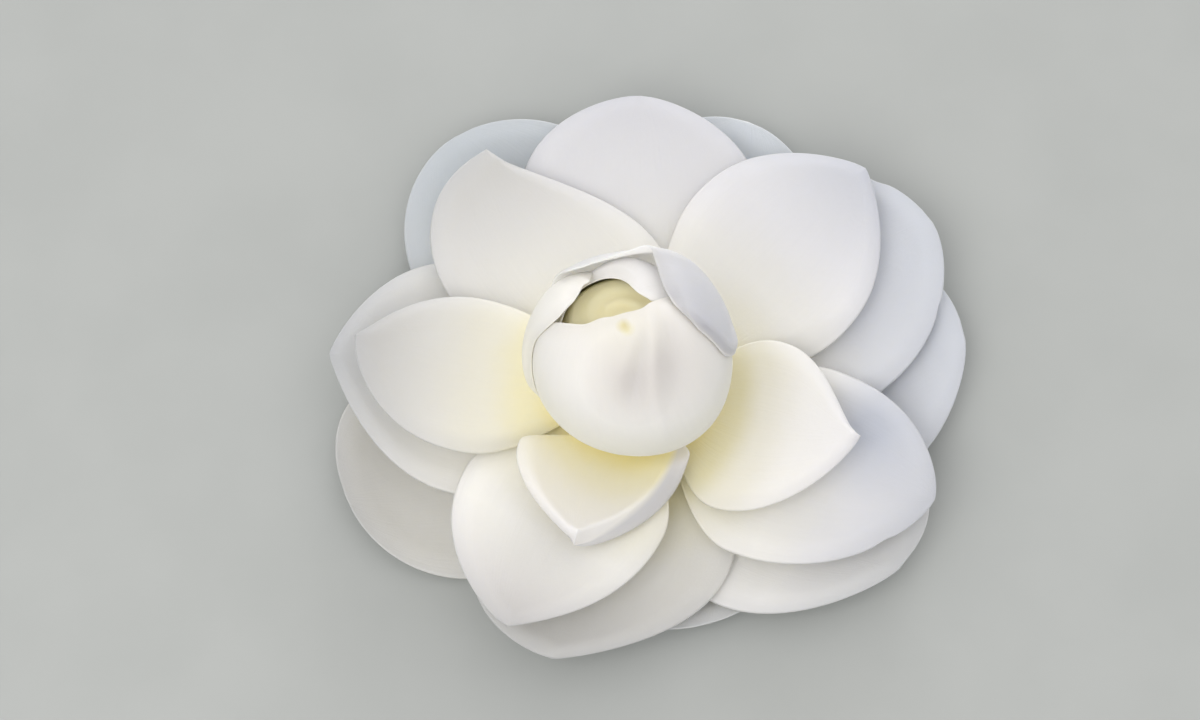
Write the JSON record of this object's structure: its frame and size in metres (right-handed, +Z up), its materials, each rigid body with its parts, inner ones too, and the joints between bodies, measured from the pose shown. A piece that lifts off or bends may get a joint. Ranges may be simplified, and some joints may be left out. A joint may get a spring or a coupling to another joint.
{
  "type": "camellia flower",
  "caption": "Half-open formal double camellia bloom with a closed bud in its middle, cut from its plant and lying face up.",
  "frame": {"origin": "on the surface that the flower rests on, under the middle of its bounding box", "axes": "+Z up, out of the open face of the flower; -Y is the front, with the small cupped petal under the bud; +X to the right seen from the front"},
  "size_m": [0.0992, 0.0932, 0.043],
  "materials": {
    "petal": "soft satin petal, translucent, cool white at the margins, cream to yellow-green at the foot",
    "bud_petal": "soft satin petal, cream white with a faint greenish dimple",
    "heart": "soft furled petals, deep yellow in the shade of the bud",
    "calyx": "silky green sepals with brownish rims, cut woody stalk end"
  },
  "bodies": {
    "root": {"petal_cup_front": "petal", "petal_inner_left": "petal", "petal_inner_front": "petal", "petal_inner_right": "petal", "petal_middle_right": "petal", "petal_inner_back_right": "petal", "petal_inner_back_left": "petal", "petal_middle_back": "petal", "petal_middle_front": "petal", "petal_outer_right": "petal", "petal_middle_left": "petal", "petal_outer_front_right": "petal", "petal_guard_back_left": "petal", "petal_guard_right": "petal", "petal_guard_back": "petal", "petal_guard_left": "petal", "petal_guard_front": "petal", "bud_back": "bud_petal", "bud_left": "bud_petal", "bud_front": "bud_petal", "bud_inner": "bud_petal", "bud_heart": "heart", "calyx": "calyx"}
  },
  "joints": []
}
